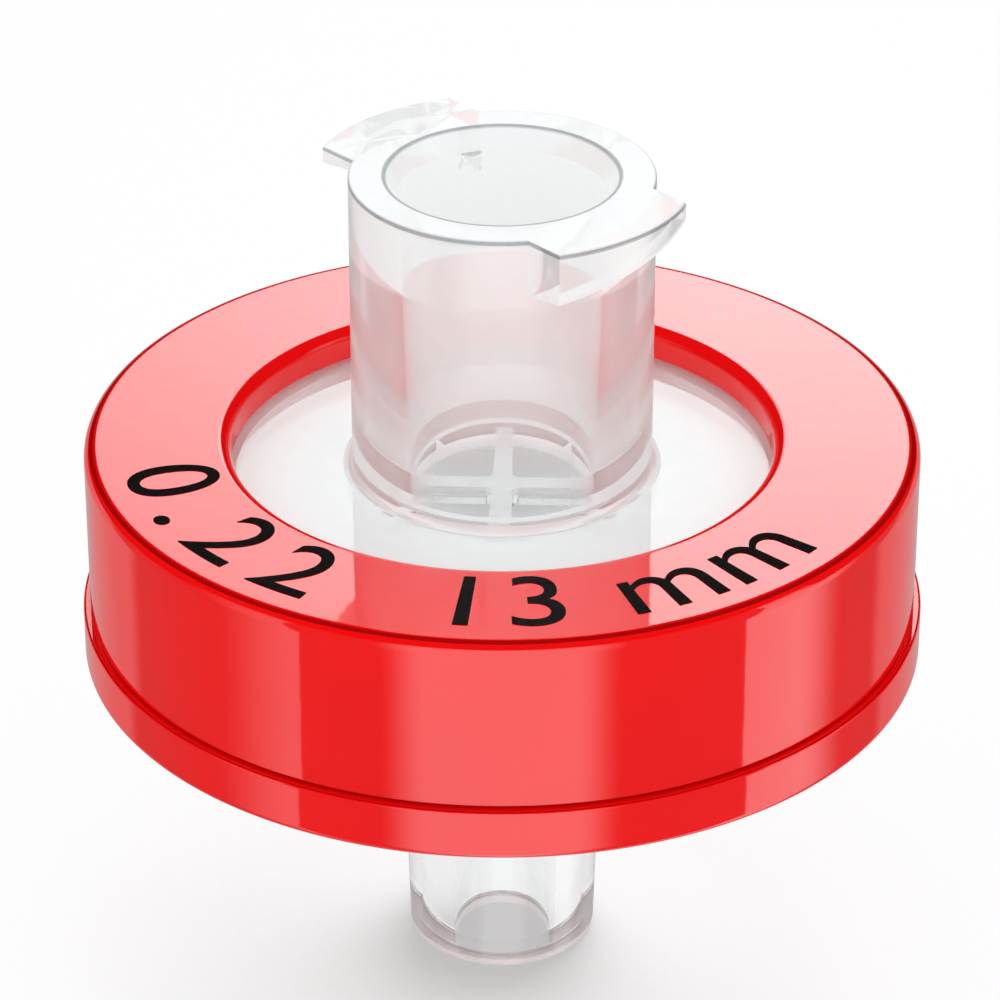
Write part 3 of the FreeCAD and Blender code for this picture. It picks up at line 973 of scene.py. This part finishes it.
def clear_plastic():
    """A clear shell with a milky veil that differs from part to part, with painted highlights
    and painted shade in the veil.
    """
    finish, start = new_finish("clear_plastic")
    spot = start.add("ShaderNodeTexCoord", output="Object")
    radius = spot.off_axis()
    height = spot.upward()
    upright = start.add("ShaderNodeNewGeometry", output="Normal").upward()
    level_face = upright.size().step(*LEVEL)
    outer_side = 1.0 - start.add("ShaderNodeNewGeometry", output="Backfacing")
    facing = start.add("ShaderNodeLayerWeight", sockets={"Blend": 0.5}, output="Facing")
    turned_away = facing.step(*TURNED_AWAY)
    outside = radius.step(*BORE_REACH) * (1.0 - level_face)
    # Painted shade: fine grey lines along the rim's edges.
    line = painted_rim_lines(radius, height)
    share = largest([
        tube_veil(spot, radius, height, level_face, outside, turned_away),
        (1.0 - height.step(*TIP_HEIGHT)) * TIP_VEIL,
        (1.0 - height.step(*TIP_FOOT_HEIGHT)) * TIP_FOOT_VEIL,
        line * SHADE_LINE_SHARE,
    ])
    share = share * (MILK_LEAST + MILK_SPREAD * spot.grain(MILK_CLOUD))
    # Painted shade: a grey veil on the tip's end face, where it stands on the sheet.
    tip_end_shade = tip_end_face(radius, height, level_face, outer_side)
    on_tube = height.step(*TUBE_START) * (1.0 - height.step(*LUG_START))
    # Painted shade greys the veil on the rim's lines, where the tube turns away, and on the
    # tip's end.
    painted_shade = largest([line, outside * turned_away * on_tube * EDGE_SHADE, tip_end_shade * TIP_END_SHADE])
    waves = spot.grain(WAVE_SIZE, 1.0).relief(WAVE_DEPTH)
    shell = start.add("ShaderNodeBsdfPrincipled", sockets={
        "Base Color": PLASTIC,
        "Roughness": CLEAR_ROUGHNESS + CLOUD_ROUGHNESS * spot.grain(MILK_CLOUD),
        "IOR": PLASTIC_IOR,
        "Transmission Weight": 1.0,
        "Normal": waves,
    })
    haze = start.add("ShaderNodeBsdfPrincipled", sockets={
        "Base Color": painted_shade.blend(MILK, PAINTED_SHADE_GREY),
        "Roughness": HAZE_ROUGHNESS,
        "Normal": waves,
    })
    veil = share * outer_side + tip_end_shade * TIP_END_SHADE_SHARE
    mixed = start.add("ShaderNodeMixShader", sockets={0: veil, 1: shell, 2: haze})
    set_surface(start, mixed)
    return finish


clear = clear_plastic()
for housing in (inlet, outlet):
    housing.data.materials.append(clear)
print("housings are clear")

# %% [markdown]
# ## The membrane
# The filter's working part is a thin matt disc of plastic foam with pores far
# too small to see. What can be seen is that it is very white, that it has a
# soft tooth like fine paper, and that its rim is pressed flat between the two
# plates. It is modelled a hair thinner than its pocket, so that no two faces
# lie in one plane. Under the bore it looks greyer, since little light gets down
# the tube: a soft step in its colour at the bore's edge does that.

# %% Membrane
SHADED_FILM = (0.77, 0.80, 0.80, 1.0)
OPEN_FILM = (0.98, 0.99, 0.99, 1.0)
PRESSED_FILM = (0.955, 0.975, 0.975, 1.0)
TOOTH_SIZE = 0.04 * MM
TOOTH_DEPTH = 0.004 * MM
TOOTH_DETAIL = 4.0
FILM_ROUGHNESS = 0.85
PRESSED_SHINE = 0.35
TOOTH_SHINE = 0.1
PRESSED_START = (CHAMBER_RADIUS, CHAMBER_RADIUS + 0.05 * MM)
SHADE_END = (RECESS_RADIUS - 0.1 * MM, RECESS_RADIUS)
FILM_GAP = 0.01 * MM
# The disc is turned round a hole too small to see, so its middle has no sliver faces.
EYE_RADIUS = 0.02 * MM


def white_film():
    """Matt microporous film, pressed flat at its rim."""
    finish, start = new_finish("white_film")
    spot = start.add("ShaderNodeTexCoord", output="Object")
    distance = spot.off_axis()
    tooth = spot.grain(TOOTH_SIZE, TOOTH_DETAIL)
    pressed = distance.step(*PRESSED_START)
    open_part = pressed.blend(OPEN_FILM, PRESSED_FILM)
    in_light = distance.step(*SHADE_END)
    film = start.add("ShaderNodeBsdfPrincipled", sockets={
        "Base Color": in_light.blend(SHADED_FILM, open_part),
        "Roughness": FILM_ROUGHNESS - PRESSED_SHINE * pressed - TOOTH_SHINE * tooth,
        "Normal": (tooth * (1.0 - pressed)).relief(TOOTH_DEPTH),
    })
    set_surface(start, film)
    return finish


def make_membrane():
    """A thin disc in the pocket between the plates."""
    low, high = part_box("membrane")
    foot, top = low.z + FILM_GAP, high.z - FILM_GAP
    corners = [
        (EYE_RADIUS, foot, 0.0), (high.x, foot, 0.0),
        (high.x, top, 0.0), (EYE_RADIUS, top, 0.0),
    ]
    disc = turned("filter_membrane", lambda angle: corners, even_turn())
    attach(disc, "root")
    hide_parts("membrane")
    disc.data.materials.append(white_film())
    return disc


membrane = make_membrane()
print("membrane is", round(membrane.dimensions.x / MM, 2), "mm across")

# %% [markdown]
# ## The print
# A filter carries its pore size and its width on top of the ring. Both are
# plain numbers here. The ink is put on with a soft rubber pad, which leaves a
# film about a hundredth of a millimetre thick, matt and slightly uneven. Each
# line of type is a text curve turned into a mesh. It is cut into narrow slices
# and then bent round the axis, so that every letter follows the ring. The line
# is also stretched a little along the ring, as printed type of this kind is
# broad.

# %% Print the ring
CAP_HEIGHT = 2.0 * MM
TYPE_WIDTH = 1.15
CAP_SHARE = 0.73
PRINT_RADIUS = 7.95 * MM
INK_THICKNESS = 0.012 * MM
SLICE = 0.1 * MM
# Each line: its words, the bearing of its middle in degrees and its letter spacing.
PRINTS = [
    ("0.22", -142.0, 1.30),
    ("13 mm", -67.5, 1.02),
]
THIN_INK = (0.012, 0.006, 0.006, 1.0)
THICK_INK = (0.003, 0.003, 0.003, 1.0)
INK_FADE = (0.35, 0.60)
INK_GRAIN = 0.06 * MM
INK_RELIEF = INK_THICKNESS / 10
INK_ROUGHNESS = 0.5
GRAIN_ROUGHNESS = 0.2
INK_GLOSS = 0.1


def ink():
    """Matt black ink, a little thinner in places."""
    finish, start = new_finish("black_ink")
    grain = start.add("ShaderNodeTexCoord", output="Object").grain(INK_GRAIN)
    film = start.add("ShaderNodeBsdfPrincipled", sockets={
        "Base Color": grain.step(*INK_FADE).blend(THIN_INK, THICK_INK),
        "Roughness": INK_ROUGHNESS + GRAIN_ROUGHNESS * grain,
        "Specular IOR Level": INK_GLOSS,
        "Normal": grain.relief(INK_RELIEF),
    })
    set_surface(start, film)
    return finish


def make_print(words, middle, spacing, finish):
    """Bend a line of type round the ring's top, its feet to the outside."""
    curve = bpy.data.curves.new("type", "FONT")
    curve.body = words
    curve.size = CAP_HEIGHT / CAP_SHARE
    curve.space_character = spacing
    curve.align_x = "CENTER"
    curve.extrude = INK_THICKNESS / 2
    plate = link("type", curve)
    settled = plate.evaluated_get(bpy.context.evaluated_depsgraph_get())
    data = bpy.data.meshes.new_from_object(settled)
    bpy.data.objects.remove(plate)
    form = bmesh.new()
    form.from_mesh(data)
    reach = max(abs(spot.co.x) for spot in form.verts)
    slices = int(reach / SLICE)
    for number in range(-slices, slices + 1):
        everything = form.verts[:] + form.edges[:] + form.faces[:]
        cut = (number * SLICE, 0.0, 0.0)
        bmesh.ops.bisect_plane(form, geom=everything, plane_co=cut, plane_no=(1.0, 0.0, 0.0))
    for spot in form.verts:
        radius = PRINT_RADIUS - spot.co.y
        angle = math.radians(middle) + TYPE_WIDTH * spot.co.x / PRINT_RADIUS
        height = RING_TOP + INK_THICKNESS / 2 + spot.co.z
        spot.co = (radius * math.cos(angle), radius * math.sin(angle), height)
    form.to_mesh(data)
    form.free()
    piece = link("print_" + words.replace(" ", "_"), data)
    data.materials.clear()
    data.materials.append(finish)
    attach(piece, "root")
    return piece


black = ink()
prints = [make_print(words, middle, spacing, black) for words, middle, spacing in PRINTS]
print("print has", sum(len(piece.data.polygons) for piece in prints), "faces")
